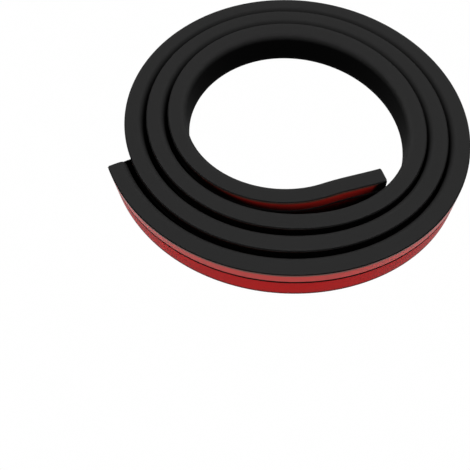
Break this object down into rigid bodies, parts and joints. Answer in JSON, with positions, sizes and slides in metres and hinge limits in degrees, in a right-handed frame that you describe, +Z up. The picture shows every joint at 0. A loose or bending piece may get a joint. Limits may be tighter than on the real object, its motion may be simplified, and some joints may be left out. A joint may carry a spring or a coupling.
{
  "type": "floor cord cover",
  "caption": "Coiled length of soft black cord cover: arched strip with cable channels, a slit base and lined adhesive tape.",
  "frame": {"origin": "middle of the bounding box of the coil's underside", "axes": "+Z up along the coil's axis, which is the direction of the strip's width; the strip's outer end opens towards +Y and its inner end towards +X"},
  "size_m": [0.3408, 0.3422, 0.04],
  "materials": {
    "rubber": "matte",
    "tape": "matte foam",
    "liner": "glossy film"
  },
  "bodies": {
    "root": {"cover_strip": "rubber", "adhesive_tape_narrow": "tape", "release_liner_narrow": "liner", "adhesive_tape_wide": "tape", "release_liner_wide": "liner"}
  },
  "joints": []
}
